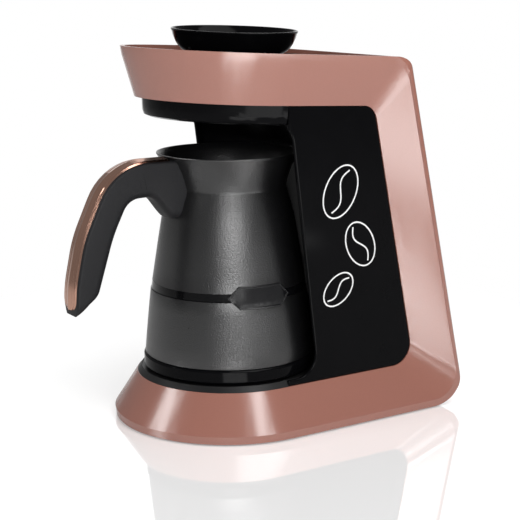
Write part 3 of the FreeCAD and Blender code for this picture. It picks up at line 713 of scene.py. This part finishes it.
class COFFEE_OT_line_drawing(Operator):
    """Printed white outlines of three coffee beans on the right panel"""

    bl_idname = "coffee.line_drawing"
    bl_label = "Printed drawing"

    def execute(self, context):
        for i, (y, z, length, lean) in enumerate(BEANS):
            self.bean("printed_bean_%d" % (i + 1), y, z, length, math.radians(lean))
        return {"FINISHED"}

    def bean(self, name, y, z, length, lean):
        """An oval outline with the bean's curved seam inside."""
        oval, seam = [], []
        for k in range(OVAL_STEPS + 1):
            t = 2 * math.pi * k / OVAL_STEPS
            oval.append((BEAN_HALF_LENGTH * length * math.cos(t), BEAN_HALF_BREADTH * length * math.sin(t)))
        for k in range(SEAM_STEPS + 1):
            u = -1 + 2 * k / SEAM_STEPS
            seam.append((SEAM_REACH * length * u, SEAM_SWING * length * math.sin(math.pi * u)))
        piece = self.line(name, oval)
        seam_line = self.line(name + "_seam", seam)
        pick(piece)
        seam_line.select_set(True)
        bpy.ops.object.join()
        turn = Matrix.Rotation(lean, 4, "X")
        piece.data.transform(Matrix.Translation((PRINT_X * MM, y * MM + POT_Y, z * MM)) @ turn)
        face_outwards(piece)
        settle(piece, "housing", "white_print")

    def line(self, name, points):
        """A thin raised line of one width through flat points."""
        half = 0.5 * sizes().print_line
        count = len(points)
        bpy.ops.object.select_all(action="DESELECT")
        bpy.ops.mesh.primitive_grid_add(
            x_subdivisions=count - 1, y_subdivisions=1, size=START_SIZE, location=(0, 0, 0))
        ribbon = bpy.context.object
        ribbon.name = name
        closed = (Vector(points[0]) - Vector(points[-1])).length < CLOSE
        for k, point in enumerate(points):
            before = points[k - 1] if k > 0 else (points[-2] if closed else point)
            after = points[k + 1] if k < count - 1 else (points[1] if closed else point)
            along = (Vector(after) - Vector(before)).normalized()
            out = Vector((-along.y, along.x)) * half
            for row, sign in ((0, -1), (1, 1)):
                spot = Vector(point) * MM + out * sign
                ribbon.data.vertices[row * count + k].co = (0, spot.x, spot.y)
        edit(ribbon)
        bpy.ops.mesh.remove_doubles(threshold=PIECE_MERGE)
        bpy.ops.mesh.select_all(action="SELECT")
        bpy.ops.mesh.extrude_region_move(TRANSFORM_OT_translate={"value": (PRINT_HEIGHT, 0, 0)})
        leave_edit()
        return ribbon


# The soft boxes stand round the pot's axis, at one distance from this height, and look at one point
LAMP_DISTANCE = 1.3
LAMP_HEIGHT = 0.12
LAMP_TARGET = (0, 0.02, 0.12)
# Each soft box: azimuth from the front towards the right side, elevation, width, height and power
LAMPS = {
    "pot_strip_light": (66, 14, 0.7, 0.3, 6.5),
    "front_soft_box": (-20, 34, 0.35, 0.5, 3.0),
    "side_soft_box": (97, 44, 0.3, 0.5, 2.6),
    "top_soft_box": (130, 68, 0.9, 0.7, 6.0),
}
# The bright card on the floor at the right, out of the picture
CARD_PLACE = (0.90, 0.0, 0.001)
CARD_WIDTH = 0.76
CARD_LENGTH = 0.7
CARD_GLOW = 4.4
# The white screen behind the object
SCREEN_SIZE = 1.2
SCREEN_DISTANCE = 1.4
# The floor's grey, the light that it gives to the camera only, and its faint mirror
FLOOR_GREY = (0.68, 0.68, 0.68, 1)
FLOOR_LIFT = 0.2
MIRROR_GREY = (0.4, 0.4, 0.4, 1)
MIRROR_ROUGHNESS = 0.03


def view_axes(settings):
    """The camera's right, up and backward directions."""
    h, p, r = settings.heading, settings.pitch, settings.roll
    forward = Vector((-math.sin(h) * math.cos(p), math.cos(h) * math.cos(p), -math.sin(p)))
    right = forward.cross(Vector((0, 0, 1))).normalized()
    up = right.cross(forward)
    return right * math.cos(r) + up * math.sin(r), up * math.cos(r) - right * math.sin(r), -forward


def lamp(name, azimuth, elevation, width, height, power):
    """A rectangular soft box that looks at the object."""
    data = bpy.data.lights.new(name, "AREA")
    data.shape = "RECTANGLE"
    data.size, data.size_y = width, height
    data.energy = power
    box = bpy.data.objects.new(name, data)
    bpy.context.scene.collection.objects.link(box)
    a, e = math.radians(azimuth), math.radians(elevation)
    box.location = (
        LAMP_DISTANCE * math.sin(a) * math.cos(e), POT_Y - LAMP_DISTANCE * math.cos(a) * math.cos(e),
        LAMP_HEIGHT + LAMP_DISTANCE * math.sin(e))
    box.rotation_euler = (Vector(LAMP_TARGET) - box.location).to_track_quat("-Z", "Y").to_euler()


def stage_plane(name, size):
    """A flat square with a material of its own: the object, its nodes, their links and the shader."""
    bpy.ops.object.select_all(action="DESELECT")
    bpy.ops.mesh.primitive_plane_add(size=size, location=(0, 0, 0))
    plane = bpy.context.object
    plane.name = name
    material, nodes, links, shader = new_material(name)
    plane.data.materials.append(material)
    return plane, nodes, links, shader


class COFFEE_OT_stage(Operator):
    """Set up the camera, the pale floor, the background and the lamps"""

    bl_idname = "coffee.stage"
    bl_label = "Set up the stage"

    def execute(self, context):
        settings = studio()
        scene = context.scene
        self.place_camera(scene, settings)
        self.lay_floor(settings)
        self.hang_screen(settings)
        self.light_world(scene, settings)
        for name, values in LAMPS.items():
            lamp(name, *values)
        self.lay_card()
        return {"FINISHED"}

    def place_camera(self, scene, settings):
        """The camera of the photograph, and colours shown as they are."""
        camera_data = bpy.data.cameras.new("photo_view")
        camera_data.sensor_width = 36.0
        camera_data.lens = settings.lens
        camera_data.clip_end = 20.0
        camera = bpy.data.objects.new("photo_view", camera_data)
        scene.collection.objects.link(camera)
        turn = Matrix(view_axes(settings)).transposed().to_4x4()
        camera.matrix_world = Matrix.Translation(Vector(settings.eye) + Vector((0, POT_Y, 0))) @ turn
        scene.camera = camera
        scene.view_settings.view_transform = "Standard"

    def lay_floor(self, settings):
        """A pale floor that mirrors faintly, white further out so that only the near shadow shows."""
        floor, nodes, links, shader = stage_plane("pale_floor", 2 * settings.floor_reach)
        path = nodes.new("ShaderNodeLightPath")
        near = self.near_floor(nodes, links, shader, path)
        share = self.far_share(nodes, links, settings, path)
        whole = mixed(nodes, links, share, near, white_glow(nodes))
        links.new(whole, nodes["Material Output"].inputs["Surface"])

    def near_floor(self, nodes, links, shader, path):
        """The floor round the object: dull grey, lifted for the camera only, with a faint mirror on it."""
        shader.inputs["Base Color"].default_value = FLOOR_GREY
        shader.inputs["Roughness"].default_value = 0.9
        shader.inputs["Specular IOR Level"].default_value = 0.0
        shader.inputs["Emission Color"].default_value = WHITE
        lift = nodes.new("ShaderNodeMath")
        lift.operation = "MULTIPLY"
        lift.inputs[1].default_value = FLOOR_LIFT
        links.new(path.outputs["Is Camera Ray"], lift.inputs[0])
        links.new(lift.outputs[0], shader.inputs["Emission Strength"])
        mirror = nodes.new("ShaderNodeBsdfGlossy")
        mirror.inputs["Color"].default_value = MIRROR_GREY
        mirror.inputs["Roughness"].default_value = MIRROR_ROUGHNESS
        both = nodes.new("ShaderNodeAddShader")
        links.new(shader.outputs[0], both.inputs[0])
        links.new(mirror.outputs[0], both.inputs[1])
        return both.outputs[0]

    def far_share(self, nodes, links, settings, path):
        """How white the floor is for the camera, by the distance from its middle."""
        place = nodes.new("ShaderNodeTexCoord")
        length = nodes.new("ShaderNodeVectorMath")
        length.operation = "LENGTH"
        links.new(place.outputs["Object"], length.inputs[0])
        fade = nodes.new("ShaderNodeMapRange")
        fade.interpolation_type = "SMOOTHSTEP"
        fade.inputs["From Min"].default_value = settings.shadow_near
        fade.inputs["From Max"].default_value = settings.shadow_far
        links.new(length.outputs["Value"], fade.inputs["Value"])
        seen = nodes.new("ShaderNodeMath")
        seen.operation = "MULTIPLY"
        links.new(fade.outputs["Result"], seen.inputs[0])
        links.new(path.outputs["Is Camera Ray"], seen.inputs[1])
        return seen.outputs[0]

    def hang_screen(self, settings):
        """A white screen behind the object as the camera sees it; from its back it can be looked through."""
        screen, nodes, links, shader = stage_plane("white_screen", SCREEN_SIZE)
        right, up, back = view_axes(settings)
        level = Vector((back.x, back.y, 0)).normalized()
        upright = Vector((0, 0, 1))
        place = Matrix.Translation(-SCREEN_DISTANCE * level + upright * SCREEN_SIZE / 2)
        turn = Matrix((upright.cross(level), upright, level)).transposed().to_4x4()
        screen.matrix_world = place @ turn
        clear = nodes.new("ShaderNodeBsdfTransparent")
        side = nodes.new("ShaderNodeNewGeometry")
        whole = mixed(nodes, links, side.outputs["Backfacing"], white_glow(nodes), clear.outputs[0])
        links.new(whole, nodes["Material Output"].inputs["Surface"])

    def light_world(self, scene, settings):
        """Even light from all round, and plain white where the camera looks past the object."""
        world = bpy.data.worlds.new("studio_air")
        world.use_nodes = True
        scene.world = world
        nodes, links = world.node_tree.nodes, world.node_tree.links
        light = nodes["Background"]
        light.inputs["Color"].default_value = WHITE
        light.inputs["Strength"].default_value = settings.air
        backdrop = nodes.new("ShaderNodeBackground")
        backdrop.inputs["Color"].default_value = WHITE
        backdrop.inputs["Strength"].default_value = 1.0
        path = nodes.new("ShaderNodeLightPath")
        either = nodes.new("ShaderNodeMath")
        either.operation = "MAXIMUM"
        links.new(path.outputs["Is Camera Ray"], either.inputs[0])
        links.new(path.outputs["Is Transmission Ray"], either.inputs[1])
        whole = mixed(nodes, links, either.outputs[0], light.outputs[0], backdrop.outputs[0])
        links.new(whole, nodes["World Output"].inputs["Surface"])

    def lay_card(self):
        """A bright card that the panel and the frame mirror."""
        card, nodes, links, shader = stage_plane("reflector_card", 1.0)
        stretch = Matrix.Diagonal((CARD_WIDTH, CARD_LENGTH, 1, 1))
        card.matrix_world = Matrix.Translation(CARD_PLACE) @ stretch
        links.new(white_glow(nodes, CARD_GLOW), nodes["Material Output"].inputs["Surface"])


classes = (
    StudioSettings, PieceSizes, FinishColours, COFFEE_OT_stage, COFFEE_OT_finish_nodes,
    COFFEE_OT_frame_shell, COFFEE_OT_inner_body, COFFEE_OT_pot, COFFEE_OT_handle, COFFEE_OT_lid_dish,
    COFFEE_OT_line_drawing)
steps = ("stage", "finish_nodes", "frame_shell", "inner_body", "pot", "handle", "lid_dish", "line_drawing")


class COFFEE_PT_sidebar(Panel):
    """The steps that build and finish the coffee maker"""

    bl_label = "Coffee maker"
    bl_idname = "COFFEE_PT_sidebar"
    bl_space_type = "VIEW_3D"
    bl_region_type = "UI"
    bl_category = "Coffee maker"

    def draw(self, context):
        layout = self.layout
        for step in steps:
            layout.operator("coffee." + step)
        layout.prop(context.scene.coffee_studio, "lens")
        layout.prop(context.scene.coffee_colours, "rose_paint")


def register():
    for cls in classes + (COFFEE_PT_sidebar,):
        bpy.utils.register_class(cls)
    bpy.types.Scene.coffee_studio = PointerProperty(type=StudioSettings)
    bpy.types.Scene.coffee_sizes = PointerProperty(type=PieceSizes)
    bpy.types.Scene.coffee_colours = PointerProperty(type=FinishColours)


def unregister():
    del bpy.types.Scene.coffee_colours
    del bpy.types.Scene.coffee_sizes
    del bpy.types.Scene.coffee_studio
    for cls in reversed(classes + (COFFEE_PT_sidebar,)):
        bpy.utils.unregister_class(cls)


def main():
    register()
    for step in steps:
        if getattr(bpy.ops.coffee, step)() != {"FINISHED"}:
            raise RuntimeError("the step " + step + " did not finish")


if __name__ == "__main__":
    main()
